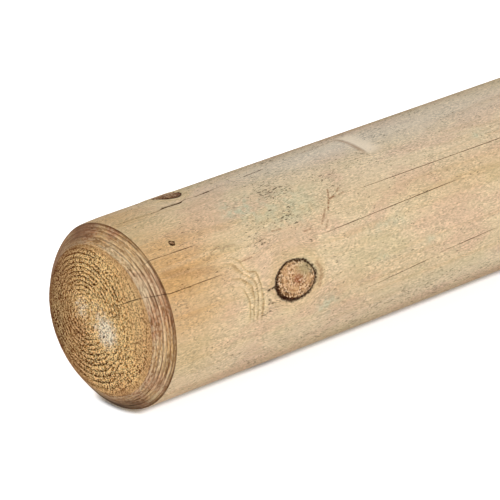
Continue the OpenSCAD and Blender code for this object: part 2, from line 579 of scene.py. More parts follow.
def meshFromGrid(name, x, y, z, surfaces):
    # quads between the rows, and a fan of triangles to the middle of each end
    rows, columns = x.shape
    places = np.stack([x, y, z], -1).reshape(-1, 3)
    poles = np.array([(0, 0, postLength), (0, 0, 0)])
    grid = np.arange(rows * columns).reshape(rows, columns)
    right = np.roll(grid, -1, 1)
    quads = np.stack([grid[:-1], right[:-1], right[1:], grid[1:]], -1).reshape(-1, 4)
    fans = [(grid.size, int(b), int(a)) for a, b in zip(grid[0], right[0])]
    fans += [(grid.size + 1, int(a), int(b)) for a, b in zip(grid[-1], right[-1])]
    mesh = bpy.data.meshes.new(name)
    mesh.from_pydata((np.concatenate([places, poles]) * mm).tolist(), [], quads.tolist() + fans)
    kinds = np.concatenate([np.repeat(surfaces, columns), np.full(len(fans), endWood)])
    mesh.polygons.foreach_set("material_index", kinds.astype(np.int32))
    mesh.polygons.foreach_set("use_smooth", np.ones(len(kinds), bool))
    print(f"post mesh: {rows} rows, {columns} columns, {len(quads) * 2 + len(fans)} triangles")
    return mesh


def addFields(mesh, fields):
    # one attribute for each name, with one or three values at a point; the poles come last
    for name, parts in fields.items():
        values = np.stack(parts, -1).reshape(-1, len(parts))
        values = np.concatenate([values, values[:1], values[-1:]])
        kind, slot = ("FLOAT", "value") if len(parts) == 1 else ("FLOAT_VECTOR", "vector")
        layer = mesh.attributes.new(name, kind, "POINT")
        layer.data.foreach_set(slot, values.astype(np.float32).ravel())


unrolledMiddle = 8                  # degrees; opposite, where the shaft is cut open, there is no knot


def unrolledArc(angles):
    # millimetres round the shaft
    return turnBetween(angles, unrolledMiddle) * perDegree


def makePost():
    form = surfaceRelief
    runs, at, normal, along, angles, cut, shade = makeGrid()

    def wide(values):
        return np.repeat(values[:, None], angles.shape[1], 1)

    def edgeMark(edges, width):
        gap = np.min([np.abs(runs - edge) for edge in edges], 0)
        return wide(hump(gap, 0, width))

    radius, height, along = wide(at[:, 0]), wide(at[:, 1]), wide(along)
    turn = np.radians(angles)
    x, y, z = radius * np.cos(turn), -radius * np.sin(turn), height
    onChamfer, onEnd = [wide(surfaceAt(runs) == kind).astype(float) for kind in (chamferWood, endWood)]
    onShaft = smoothStep(along, *outline["shaftFade"])

    knot = knotFields(along, angles)
    distance = np.where(onShaft > 0, knot["distance"], knotForm["far"])
    phase, figure = ringField(x, y, z, along, angles, distance, onShaft)
    flow = np.radians(fibreAngles(along, angles))
    patches = {}
    for kind, spots in stains.items():
        patches[kind] = sum(spot["strength"] * blob(along, angles, spot, stainEdge) for spot in spots)
    skipMask, skipLine = skipFields(along, angles)

    # relief, along the surface's own normal
    lobes, length = form["outOfRoundScale"]
    uneven = noiseField(np.cos(turn) * lobes, np.sin(turn) * lobes, z / length)
    relief = form["outOfRound"] * uneven * onShaft
    wander, seed = form["millWander"]
    mill = radius / form["millPitch"] + noiseField(np.cos(turn) * wander, np.sin(turn) * wander, seed)
    late = np.where(onChamfer > 0, lateWood(mill), lateWood(phase))
    size = form["roughSize"]
    rough = noiseField(x / size, y / size, z / size, 2)
    relief += onEnd * ((late - 1) * form["ringRelief"] + form["sawnRoughness"] * rough)
    relief += onChamfer * ((late - 1) * form["millRelief"] + form["millRoughness"] * rough)
    bowlFrom, bowlTo, bowlHeight = knotForm["bowl"]
    swellAt, swellWidth, swellHeight = knotForm["swell"]
    bowl = smoothStep(distance, bowlFrom, bowlTo) * bowlHeight
    ditch = hump(distance, *knotForm["ditch"]) * knot["groove"]
    swell = hump(distance, swellAt, swellWidth) * swellHeight
    relief += (bowl - ditch + swell) * onShaft
    relief -= planedSkip["sink"] * skipMask + lowRim["sink"] * blob(along, angles, lowRim)
    relief -= cut
    x = x + relief * wide(normal[:, 0]) * np.cos(turn)
    y = y - relief * wide(normal[:, 0]) * np.sin(turn)
    z = z + relief * wide(normal[:, 1])

    mesh = meshFromGrid("turnedPost", x, y, z, surfaceAt((runs[:-1] + runs[1:]) / 2))
    end = endFields(x, y, along, angles, onChamfer)
    addFields(mesh, {
        "ringPhase": [phase],
        "grainSpace": [radius * np.cos(flow), -radius * np.sin(flow), height],
        "roundSpace": [postRadius * np.cos(turn), -postRadius * np.sin(turn), radius],
        "unrolled": [along, unrolledArc(angles), height * 0],
        "knotField": [distance, knot["heart"], knot["low"]],
        "knotKind": [knot["tone"], knot["bark"], figure],
        "check": [shade],
        "stain": [patches["green"], patches["warm"], patches["grey"]],
        "finish": [skipMask, skipLine, patches["flecked"]],
        "weatherAndShade": [patches["dull"]],
        "endTint": [end["pale"], end["red"], end["smooth"]],
        "endState": [end["clear"], end["darkAndShade"], end["soilAndShade"]],
        "edges": [edgeMark((topShoulder, footShoulder), form["rimWidth"]),
                  edgeMark((topBrow, footBrow), form["browWidth"]), mill],
    })
    mesh.update()
    mesh.set_sharp_from_angle(angle=math.radians(form["sharpAngle"]))
    piece = bpy.data.objects.new("turnedPost", mesh)
    scene.collection.objects.link(piece)
    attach(piece, "root")
    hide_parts("post")
    return piece


def linear(r, g, b):
    # screen colour, 0 to 255, to the scene's linear colour
    shares = [c / 255 for c in (r, g, b)]
    return tuple(s / 12.92 if s <= 10 / 255 else ((s + 0.055) / 1.055) ** 2.4 for s in shares) + (1.0,)


class Board:
    # a node tree with short ways to add nodes
    def __init__(self, tree):
        self.tree = tree

    def put(self, kind, **settings):
        node = self.tree.nodes.new(kind)
        for name, value in settings.items():
            setattr(node, name, value)
        return node

    def feed(self, socket, value):
        if hasattr(value, "is_linked"):
            self.tree.links.new(value, socket)
        elif value is not None:
            socket.default_value = value

    def calc(self, operation, a, b=None, c=None, clamp=False):
        node = self.put("ShaderNodeMath", operation=operation, use_clamp=clamp)
        for socket, value in zip(node.inputs, (a, b, c)):
            self.feed(socket, value)
        return node.outputs[0]

    def times(self, first, *others):
        for other in others:
            first = self.calc("MULTIPLY", first, other)
        return first

    def plus(self, value, by, start):
        # value times by, added to start
        return self.calc("MULTIPLY_ADD", value, by, start)

    def ease(self, value, low, high, toLow=0.0, toHigh=1.0):
        node = self.put("ShaderNodeMapRange", interpolation_type="SMOOTHSTEP", clamp=True)
        names = ("Value", "From Min", "From Max", "To Min", "To Max")
        for name, v in zip(names, (value, low, high, toLow, toHigh)):
            self.feed(node.inputs[name], v)
        return node.outputs[0]

    def mix(self, share, a, b):
        node = self.put("ShaderNodeMix", data_type="RGBA", clamp_factor=True)
        for k, value in ((0, share), (6, a), (7, b)):
            self.feed(node.inputs[k], value)
        return node.outputs[2]

    def tint(self, colour, towards, *shares):
        return self.mix(self.times(*shares), colour, towards)

    def vector(self, operation, a, b=None):
        node = self.put("ShaderNodeVectorMath", operation=operation)
        for socket, value in zip(node.inputs, (a, b)):
            self.feed(socket, value)
        return node.outputs["Value" if operation in ("LENGTH", "DOT_PRODUCT") else "Vector"]

    def stretch(self, vector, by):
        return self.vector("MULTIPLY", vector, by)

    def scale(self, colour, by):
        node = self.put("ShaderNodeVectorMath", operation="SCALE")
        self.feed(node.inputs[0], colour)
        self.feed(node.inputs["Scale"], by)
        return node.outputs[0]

    def split(self, vector):
        node = self.put("ShaderNodeSeparateXYZ")
        self.feed(node.inputs[0], vector)
        return node.outputs

    def join(self, x, y, z):
        node = self.put("ShaderNodeCombineXYZ")
        for socket, value in zip(node.inputs, (x, y, z)):
            self.feed(socket, value)
        return node.outputs[0]

    def clouds(self, vector, scale, detail=2.0, roughness=0.5, warp=0.0):
        node = self.put("ShaderNodeTexNoise")
        names = ("Vector", "Scale", "Detail", "Roughness", "Distortion")
        for name, value in zip(names, (vector, scale, detail, roughness, warp)):
            self.feed(node.inputs[name], value)
        return node.outputs["Fac"]

    def spots(self, vector, clouds, eased):
        # clouds, eased into patches with soft edges
        return self.ease(self.clouds(vector, *clouds), *eased)

    def cells(self, vector, scale):
        # a random value for each cell
        node = self.put("ShaderNodeTexVoronoi")
        self.feed(node.inputs["Vector"], vector)
        self.feed(node.inputs["Scale"], scale)
        return self.split(node.outputs["Color"])[0]

    def read(self, name, output="Fac"):
        return self.put("ShaderNodeAttribute", attribute_name=name).outputs[output]

    def parts(self, name):
        # the three values of a vector attribute
        return self.split(self.read(name, "Vector"))

    def roughen(self, shader, height, strength, depth):
        node = self.put("ShaderNodeBump")
        node.inputs["Strength"].default_value = strength
        node.inputs["Distance"].default_value = depth * mm
        self.feed(node.inputs["Height"], height)
        self.feed(shader.inputs["Normal"], node.outputs[0])

    def place(self, group, **values):
        node = self.put("ShaderNodeGroup", node_tree=group)
        for name, value in values.items():
            self.feed(node.inputs[name], value)
        return node.outputs


def newGroup(name, inputs, outputs):
    tree = bpy.data.node_groups.new(name, "ShaderNodeTree")
    kinds = {"f": "NodeSocketFloat", "v": "NodeSocketVector", "c": "NodeSocketColor"}
    for side, sockets in (("INPUT", inputs), ("OUTPUT", outputs)):
        for label, kind in sockets.items():
            tree.interface.new_socket(label, in_out=side, socket_type=kinds[kind])
    board = Board(tree)
    return tree, board, board.put("NodeGroupInput").outputs, board.put("NodeGroupOutput").inputs


# Values given as (from, to) or (from, to, share at from, share at to) are eased; "Clouds" are noise patterns
# given as (scale per mm, detail, roughness, warp).
effects = {
    "ringClouds": (0.9, 3.0),
    "streakClouds": (0.22, 4.0, 0.6),
    "fibreClouds": (1.3, 4.0, 0.65),
    "fleckClouds": (1.5, 2.0, 0.6, 0.6),
    "napClouds": (1.3, 2.0, 0.7),
    "gritCells": 2.1,
    # shares that the pattern's space shrinks to along the grain, which draws the pattern out
    "drawnOut": {"Streak": 0.035, "Fibre": 0.06, "Fleck": 0.28, "Nap": 0.32, "Grit": 0.34},
    "checkEdge": (0.02, 0.34),
    "brightGrain": (0.53, 0.65),
    "darkGrain": (0.46, 0.32),
    "scratchTips": (0.5, 0.4),
    "scratchEdge": (1.6, 0.4),      # in half widths
    "scratchClouds": (0.8, 2.0, 0.6),
    "scratchWear": (0.36, 0.58, 0.35, 1.0),
}


def makeGrowthRings():
    # late wood lines and a random tone for each year
    tree, b, given, result = newGroup("growthRings", {"Phase": "f", "Grain": "v", "Fray": "f"},
                                      {"Late": "f", "Year": "f"})
    fray = b.calc("SUBTRACT", b.clouds(given["Grain"], *effects["ringClouds"]), 0.5)
    phase = b.calc("ADD", given["Phase"], b.times(fray, given["Fray"]))
    part = b.calc("FRACT", phase)
    late = b.times(b.ease(part, *growth["lateRise"]), b.ease(part, *growth["lateFall"], 1.0, 0.0))
    year = b.put("ShaderNodeTexWhiteNoise", noise_dimensions="1D")
    b.feed(year.inputs["W"], b.calc("FLOOR", phase))
    b.feed(result["Late"], late)
    b.feed(result["Year"], year.outputs["Value"])
    return tree


def makeFibreGrain():
    # long streaks, fine fibres, nap, short flecks and grit, all drawn out along the grain
    names = list(effects["drawnOut"])
    tree, b, given, result = newGroup("fibreGrain", {"Grain": "v"}, {name: "f" for name in names})
    for name in names:
        space = b.stretch(given["Grain"], (1.0, 1.0, effects["drawnOut"][name]))
        if name == "Grit":
            b.feed(result[name], b.cells(space, effects["gritCells"]))
        else:
            b.feed(result[name], b.clouds(space, *effects[name.lower() + "Clouds"]))
    return tree


def makeCheckShade():
    # open drying checks are dark inside; the darkening is partly painted shade in the groove
    tree, b, given, result = newGroup("checkShade", {"Color": "c", "Check": "f", "Dark": "c"},
                                      {"Color": "c"})
    opened = b.ease(given["Check"], *effects["checkEdge"])
    b.feed(result["Color"], b.tint(given["Color"], given["Dark"], opened))
    return tree


def makeSpeckle():
    # torn fibre ends: bright and dark grains, about Size millimetres large; Lean favours the bright ones
    tree, b, given, result = newGroup("sawnSpeckle", {"Grain": "v", "Size": "f", "Lean": "f"},
                                      {"Bright": "f", "Dark": "f"})
    grains = b.cells(given["Grain"], b.calc("DIVIDE", 1.0, given["Size"]))
    value = b.calc("ADD", grains, given["Lean"])
    b.feed(result["Bright"], b.ease(value, *effects["brightGrain"]))
    b.feed(result["Dark"], b.ease(value, *effects["darkGrain"]))
    return tree


def makeScratch():
    # one thin line between two places, fading towards its ends
    tree, b, given, result = newGroup("scratchLine", {"Place": "v", "Start": "v", "End": "v", "Width": "f"},
                                      {"Mask": "f"})
    whole = b.vector("SUBTRACT", given["End"], given["Start"])
    here = b.vector("SUBTRACT", given["Place"], given["Start"])
    squared = b.vector("DOT_PRODUCT", whole, whole)
    share = b.calc("DIVIDE", b.vector("DOT_PRODUCT", here, whole), squared, clamp=True)
    gap = b.vector("LENGTH", b.vector("SUBTRACT", here, b.scale(whole, share)))
    fade = b.ease(b.calc("ABSOLUTE", b.calc("SUBTRACT", share, 0.5)), *effects["scratchTips"])
    half = b.times(given["Width"], 0.5)
    line = b.ease(gap, *[b.times(half, edge) for edge in effects["scratchEdge"]])
    worn = b.spots(given["Place"], effects["scratchClouds"], effects["scratchWear"])
    b.feed(result["Mask"], b.times(line, fade, worn))
    return tree


print("making shader groups")
growthRings = makeGrowthRings()
fibreGrain = makeFibreGrain()
checkShade = makeCheckShade()
sawnSpeckle = makeSpeckle()
scratchLine = makeScratch()


woodSpecular = 0.04                 # dry wood, not polished


def woodMaterial(name):
    material = bpy.data.materials.new(name)
    material.use_nodes = True
    shader = material.node_tree.nodes["Principled BSDF"]
    shader.inputs["Specular IOR Level"].default_value = woodSpecular
    return material, Board(material.node_tree), shader


def paint(b, shader, colour, dark):
    # base colour, with the open checks darkened
    checked = b.place(checkShade, Color=colour, Check=b.read("check"), Dark=dark)
    b.feed(shader.inputs["Base Color"], checked["Color"])


# thin marks drawn on the surface of the side, from one place to another
markColumns = "start end width share"
marks = {
    "scuff": table(
        markColumns,
        ((126.7, 31.2), (123.2, 37.6), 1.2, 0.75), ((123.2, 37.6), (118.4, 44.7), 1.1, 0.85),
        ((123.0, 38.0), (128.6, 37.0), 1.1, 0.85), ((133.9, 32.7), (130.0, 35.4), 1.1, 0.6),
        ((130.0, 37.3), (135.0, 36.8), 0.9, 0.5), ((118.1, 42.0), (109.9, 51.8), 1.2, 0.6),
        ((116.0, 49.2), (111.5, 54.7), 1.1, 0.55), ((98.5, 70.0), (101.4, 78.5), 2.6, 0.5),
        ((101.4, 78.0), (98.0, 86.5), 2.4, 0.5), ((35.2, 44.8), (42.4, 42.3), 0.55, 0.55),
        ((51.0, 55.6), (60.0, 55.0), 0.6, 0.7), ((1.0, 46.5), (35.0, 54.5), 4.5, 0.26),
        ((40.0, 43.3), (54.0, 44.8), 1.6, 0.34), ((77.8, 44.6), (85.3, 45.2), 0.8, 0.7),
        ((97.0, 51.6), (102.9, 51.3), 0.8, 0.6), ((137.0, -8.4), (167.0, -10.2), 1.3, 0.4)),
    "bark": table(markColumns, ((62.4, 77.2), (71.5, 76.2), 1.0, 1.0)),
    # a dark line for a check without a groove, partly painted shade
    "check": table(markColumns, ((93.0, -3.3), (109.0, -4.6), 1.0, 0.85)),
}

sideLook = {
    "early": linear(221, 198, 162),
    "late": linear(170, 134, 86),
    "pink": linear(216, 184, 154),
    "olive": linear(206, 190, 150),
    "streak": linear(204, 172, 128),
    "fleck": linear(62, 44, 22),
    "warm": linear(204, 162, 110),
    "grey": linear(222, 210, 192),
    "green": linear(188, 196, 168),
    # weathered wood, and painted shade in two of the dull strips
    "dull": linear(172, 151, 124),
    "check": linear(82, 48, 24),
    "planed": linear(242, 226, 202),
    "scuff": linear(138, 92, 58),
    "bark": linear(38, 14, 3),
    "halo": linear(214, 182, 126),
    "figured": linear(230, 208, 162),
    "ringStretch": 0.05,
    "ringFray": 0.35,
    "ringShare": (0.0, 1.0, 0.12, 0.74),    # strength of the ring lines on plain wood and in figured places
    "ringClouds": (0.16, 2.0),
    "ringWear": (0.36, 0.56, 0.5, 1.0),
    "driftStretch": 0.4,
    "driftClouds": (0.05, 3.0, 0.55),
    "pinkDrift": (0.48, 0.60, 0.0, 0.75),
    "oliveDrift": (0.46, 0.34, 0.0, 0.6),
    "streakShare": (0.48, 0.72, 0.0, 0.4),
    "warmStreaks": (0.36, 0.60, 0.72, 1.0),
    "greyShare": 0.62,
    "figuredShare": 0.45,
    "greenClouds": (0.2, 4.0, 0.6),
    "greenShare": (0.42, 0.62, 0.2, 0.9),
    "fibreShade": (0.30, 0.70, 0.92, 1.06),     # darkest and lightest that the fibres make the wood
    "napShade": (0.32, 0.68, 0.88, 1.07),
    "gritShade": (0.0, 1.0, 0.81, 1.17),
    "patchClouds": (0.09, 3.0, 0.6),
    "texturePatches": (0.38, 0.62, 0.60, 1.10),   # this texture is weaker in some places than in others
    "fleckClouds": (0.07, 2.0),
    "fleckClusters": (0.4, 0.7),
    "fleckFrom": (0.658, -0.11, -0.05),     # flecks start here, sooner in flecked places and in clusters
    "fleckEdge": 0.09,
    "fleckShare": 0.78,
    "haloShare": (1.7, 1.0, 0.0, 0.22),
    "greenKnot": 0.6,               # share of the green stain that shows on a knot
    "knotEdge": (0.98, 0.9),
    "barkClouds": (0.75, 3.0, 0.75),
    "barkFray": 2.1,                # in thicknesses of the bark, as the next four
    "barkThick": (0.0, 1.0, 0.85, 1.35),    # at the upper and the lower side
    "barkSoft": 0.32,
    "innerAt": 1.9,                 # a broken line inside the bark
    "innerEdge": (0.5, 0.15),
    "innerClouds": (0.35, 2.0),
    "innerShare": (0.45, 0.58, 0.0, 0.6),
    "gapClouds": (1.2, 2.0, 0.6),
    "barkGaps": (0.34, 0.56, 0.7, 1.0),
    "planedShare": 0.8,
    "planedEdge": 0.6,
    "roughness": (0.3, 0.7, 0.74, 0.60),
    "napHeight": 0.6,
    "bump": 0.30,
    "bumpDepth": 0.6,
}

knotLook = {
    "wood": linear(204, 162, 116),
    "heart": linear(146, 76, 46),
    "dark": linear(76, 38, 12),
    "pale": linear(246, 218, 182),
    "green": linear(158, 158, 120),
    "heartShare": (0.40, 0.05, 0.0, 0.85),
    "ringClouds": (0.9, 3.0, 0.7),
    "rings": (32.0, 5.0),           # waves over the knot, and how far the clouds bend them
    "ringShare": (0.1, 1.0, 0.0, 0.42),
    "crustEdge": (0.58, 0.86),
    "crustSide": (0.1, 0.9),
    "crustLean": -0.24,
    "grainSize": 0.78,
    "patchClouds": (0.15, 2.0),
    "patches": (0.42, 0.56, 0.35, 1.0),
    "brightShare": 0.55,
    "darkShare": 0.6,
    "crustShare": 0.4,
    "streakStretch": (0.25, 1.2, 1.0),
    "streakClouds": (0.9, 3.0, 0.65),
    "streaks": (0.36, 0.62, 1.0, 0.25),
}


def knotColour(b, flat, distance, heart, low, tone):
    # sound knot wood: fine rings round a red heart, torn grains light and dark, a dark crust at the low side
    look = knotLook
    waves, bend = look["rings"]
    colour = b.tint(look["wood"], look["heart"], b.ease(heart, *look["heartShare"]))
    grit = b.clouds(flat, *look["ringClouds"])
    rings = b.calc("SINE", b.plus(grit, bend, b.times(heart, waves)))
    colour = b.tint(colour, look["heart"], b.ease(rings, *look["ringShare"]))
    crust = b.times(b.ease(distance, *look["crustEdge"]), b.ease(low, *look["crustSide"]))
    lean = b.times(crust, look["crustLean"])
    speck = b.place(sawnSpeckle, Grain=flat, Size=look["grainSize"], Lean=lean)
    patchy = b.spots(flat, look["patchClouds"], look["patches"])
    colour = b.tint(colour, look["pale"], speck["Bright"], patchy, look["brightShare"])
    darkShare = b.plus(crust, look["crustShare"], b.times(patchy, look["darkShare"]))
    colour = b.tint(colour, look["dark"], speck["Dark"], darkShare)
    streaks = b.clouds(b.stretch(flat, look["streakStretch"]), *look["streakClouds"])
    return b.tint(colour, look["dark"], tone, b.ease(streaks, *look["streaks"]))


def addKnots(b, colour, flat, green):
    # yellowish halo, sound wood inside, ragged dark bark that is thicker on the lower side
    look = sideLook
    distance, heart, low = b.parts("knotField")
    tone, barkShare, _ = b.parts("knotKind")
    colour = b.tint(colour, look["halo"], b.ease(distance, *look["haloShare"]))
    sound = knotColour(b, flat, distance, heart, low, tone)
    sound = b.tint(sound, knotLook["green"], green, look["greenKnot"])
    colour = b.tint(colour, sound, b.ease(distance, *look["knotEdge"]))
    fray = b.calc("SUBTRACT", b.clouds(flat, *look["barkClouds"]), 0.5)
    frayed = b.plus(fray, b.times(barkShare, look["barkFray"]), distance)
    thick = b.times(barkShare, b.ease(low, *look["barkThick"]))
    outside = b.calc("SUBTRACT", frayed, 1.0)
    inside = b.calc("ADD", outside, thick)
    soft = b.times(barkShare, look["barkSoft"])
    minusSoft = b.times(soft, -1.0)
    bark = b.times(b.ease(inside, minusSoft, soft), b.ease(outside, soft, minusSoft))
    gaps = b.spots(flat, look["gapClouds"], look["barkGaps"])
    colour = b.tint(colour, look["bark"], bark, gaps)
    innerGap = b.calc("ABSOLUTE", b.plus(thick, look["innerAt"], outside))
    innerLine = b.ease(innerGap, *[b.times(barkShare, edge) for edge in look["innerEdge"]])
    broken = b.spots(flat, look["innerClouds"], look["innerShare"])
    return b.tint(colour, look["bark"], innerLine, broken)


def makeTurnedSide():
    look = sideLook
    material, b, shader = woodMaterial("turnedSide")
    grain, flat = b.read("grainSpace", "Vector"), b.read("unrolled", "Vector")
    rings = b.place(growthRings, Phase=b.read("ringPhase"), Fray=look["ringFray"],
                    Grain=b.stretch(grain, (1.0, 1.0, look["ringStretch"])))
    fibre = b.place(fibreGrain, Grain=grain)
    green, warm, grey = b.parts("stain")
    planed, planedEdge, flecked = b.parts("finish")
    figure = b.parts("knotKind")[2]

    drift = b.clouds(b.stretch(grain, (1.0, 1.0, look["driftStretch"])), *look["driftClouds"])
    colour = b.tint(look["early"], look["pink"], b.ease(drift, *look["pinkDrift"]))
    colour = b.tint(colour, look["olive"], b.ease(drift, *look["oliveDrift"]))
    colour = b.tint(colour, look["streak"], b.ease(fibre["Streak"], *look["streakShare"]))
    colour = b.tint(colour, look["warm"], warm, b.ease(fibre["Streak"], *look["warmStreaks"]))
    colour = b.tint(colour, look["grey"], grey, look["greyShare"])
    # dull weathered strips, two of them painted shade on the upper and the lower side
    colour = b.tint(colour, look["dull"], b.read("weatherAndShade"))
    colour = b.tint(colour, look["figured"], figure, look["figuredShare"])
    worn = b.spots(flat, look["ringClouds"], look["ringWear"])
    colour = b.tint(colour, look["late"], rings["Late"], b.ease(figure, *look["ringShare"]), worn)
    mottle = b.spots(grain, look["greenClouds"], look["greenShare"])
    colour = b.tint(colour, look["green"], green, mottle)

    # fibres, nap and grit make the surface a little darker or lighter, flecks mark it more
    shade = b.ease(fibre["Fibre"], *look["fibreShade"])
    nap = b.ease(fibre["Nap"], *look["napShade"])
    grit = b.ease(fibre["Grit"], *look["gritShade"])
    texture = b.calc("SUBTRACT", b.times(shade, nap, grit), 1.0)
    patchy = b.spots(grain, look["patchClouds"], look["texturePatches"])
    colour = b.scale(colour, b.plus(texture, patchy, 1.0))
    cluster = b.spots(grain, look["fleckClouds"], look["fleckClusters"])
    fleckFrom, inPatch, inCluster = look["fleckFrom"]
    start = b.plus(cluster, inCluster, b.plus(flecked, inPatch, fleckFrom))
    fleck = b.ease(fibre["Fleck"], start, b.calc("ADD", start, look["fleckEdge"]))
    colour = b.tint(colour, look["fleck"], fleck, look["fleckShare"])

    colour = addKnots(b, colour, flat, green)
    colour = b.tint(colour, look["planed"], planed, look["planedShare"])
    colour = b.tint(colour, look["scuff"], planedEdge, look["planedEdge"])
    for kind, lines in marks.items():
        for line in lines:
            ends = [(along, unrolledArc(around), 0.0) for along, around in (line["start"], line["end"])]
            mask = b.place(scratchLine, Place=flat, Start=ends[0], End=ends[1], Width=line["width"])["Mask"]
            colour = b.tint(colour, look[kind], mask, line["share"])
    paint(b, shader, colour, look["check"])
    b.feed(shader.inputs["Roughness"], b.ease(fibre["Fibre"], *look["roughness"]))
    height = b.plus(fibre["Nap"], look["napHeight"], b.calc("SUBTRACT", fibre["Fibre"], fleck))
    b.roughen(shader, height, look["bump"], look["bumpDepth"])
    return material


chamferLook = {
    "early": linear(212, 170, 118),
    "rosy": linear(192, 138, 100),
    "bright": linear(234, 212, 174),
    "dull": linear(136, 98, 66),
    # dark patches, partly painted shade
    "darkAndShade": linear(112, 80, 58),
    "late": linear(84, 46, 22),
    "rim": linear(84, 52, 30),
    # soil and painted shade on the lower rim
    "soilAndShade": linear(68, 49, 33),
    "check": linear(66, 42, 26),
    "drawnOut": (0.06, 0.06, 1.0),  # lines of the milling knives run round the chamfer
    "ringFray": 0.45,
    "grainStretch": (0.3, 0.3, 1.0),
    "grainSize": 0.45,
    "rosyClouds": (0.05, 2.0),
    "rosyShare": (0.42, 0.58),
    "redShare": 0.7,
    "smoothShare": 0.5,
    "smearClouds": (0.8, 2.0, 0.6),
    "brightSmear": (0.50, 0.70, 0.0, 0.48),
    "dullSmear": (0.50, 0.32, 0.0, 0.8),
    "hatchClouds": (2.2, 2.0, 0.6),
    "hatchShade": (0.32, 0.68, 0.72, 1.22),
    "tornShare": (0.0, 1.0, 0.22, 0.36),    # torn grains, stronger near the end face
    "yearShare": (0.8, 0.2),        # most that a line gains from its own tone, and its least
    "faintStretch": (1.0, 1.0, 2.0),
    "faintClouds": (0.07, 2.0),
    "faintShare": (0.36, 0.60, 0.6, 1.2),
    "browShare": (0.2, 1.0, 1.0, 0.35),
    "rimShare": 0.8,
    "darkAndShadeShare": 0.75,
    "soilAndShadeShare": (0.35, 0.6, 1.0, 0.75),
    "roughness": (0.0, 1.0, 0.78, 0.65),
    "bump": 0.4,
    "bumpDepth": 0.6,
}


def makeMilledChamfer():
    look = chamferLook
    material, b, shader = woodMaterial("milledChamfer")
    turned = b.read("roundSpace", "Vector")
    drawn = b.stretch(turned, look["drawnOut"])
    rim, brow, mill = b.parts("edges")
    _, darkAndShade, soilAndShade = b.parts("endState")
    _, red, smooth = b.parts("endTint")
    rings = b.place(growthRings, Phase=mill, Grain=drawn, Fray=look["ringFray"])
    grains = b.stretch(turned, look["grainStretch"])
    speck = b.place(sawnSpeckle, Grain=grains, Size=look["grainSize"], Lean=0.0)
    patchy = b.spots(turned, look["rosyClouds"], look["rosyShare"])
    colour = b.tint(look["early"], look["rosy"], patchy)
    colour = b.tint(colour, look["rosy"], red, look["redShare"])
    colour = b.tint(colour, look["bright"], smooth, look["smoothShare"])
    smear = b.clouds(drawn, *look["smearClouds"])
    colour = b.tint(colour, look["bright"], b.ease(smear, *look["brightSmear"]))
    colour = b.tint(colour, look["dull"], b.ease(smear, *look["dullSmear"]))
    colour = b.scale(colour, b.spots(drawn, look["hatchClouds"], look["hatchShade"]))
    torn = b.ease(brow, *look["tornShare"])
    colour = b.tint(colour, look["bright"], speck["Bright"], torn)
    colour = b.tint(colour, look["late"], speck["Dark"], torn)
    drift = b.clouds(b.stretch(turned, look["faintStretch"]), *look["faintClouds"])
    faint = b.ease(drift, *look["faintShare"])
    year = b.plus(rings["Year"], *look["yearShare"])
    colour = b.tint(colour, look["late"], rings["Late"], year, faint, b.ease(brow, *look["browShare"]))
    # a dark line at the rim, and dark patches that are partly painted shade
    for name, mask in {"rim": rim, "darkAndShade": darkAndShade}.items():
        colour = b.tint(colour, look[name], mask, look[name + "Share"])
    # soil and painted shade on the lower rim
    colour = b.tint(colour, look["soilAndShade"], soilAndShade, b.ease(smear, *look["soilAndShadeShare"]))
    paint(b, shader, colour, look["check"])
    b.feed(shader.inputs["Roughness"], b.ease(rings["Late"], *look["roughness"]))
    b.roughen(shader, b.calc("SUBTRACT", rings["Late"], speck["Dark"]), look["bump"], look["bumpDepth"])
    return material


endLook = {
    "early": linear(224, 160, 90),
    "late": linear(112, 66, 28),
    "pale": linear(255, 240, 210),
    "red": linear(160, 96, 54),
    "bright": linear(255, 219, 154),
    "rosy": linear(226, 168, 116),
    "dark": linear(54, 12, 0),
    "smooth": linear(216, 180, 132),
    "darkAndShade": linear(94, 44, 14),
    "edge": linear(196, 150, 104),
    # soil and painted shade near the lower rim
    "soilAndShade": linear(66, 50, 36),
    "check": linear(58, 36, 22),
    "ringFray": 0.38,
    "ringShare": (0.0, 0.8, 0.28, 0.80),    # from torn places to clear ones
    "ringsInPale": (0.1, 0.7, 1.0, 0.15),
    "ringPitch": 2.6,               # mm, makes the grains run along the rings
    "drawnOut": 0.82,
    "grainSize": 0.45,
    "lean": (0.10, 0.05, -0.5),     # towards bright grains everywhere, in pale places and in late wood
    "redShare": 0.8,
    "smoothShare": 0.6,
    "edgeShare": 0.8,
    "darkAndShadeShare": 0.95,
    "lateShare": 0.62,
    "tornClouds": (0.3, 3.0, 0.7),
    "tornBy": 1.8,                  # how ragged the pale patches are
    "paleShare": (0.30, 1.15, 0.0, 0.5),
    "paleGrains": (0.3, 1.1),
    "calmSmooth": (0.0, 0.8, 1.0, 0.65),
    "calmEdge": (0.2, 1.0, 1.0, 0.45),
    "brightShare": (0.0, 0.9, 1.0, 0.58),   # from light places to the dark, shaded patches
    "darkShare": (0.0, 0.9, 1.0, 0.7),
    "rosyShare": 0.6,
    "soilAndShadeShare": 0.6,
    "roughness": 0.85,
    "bump": 0.6,
    "bumpDepth": 0.8,
}


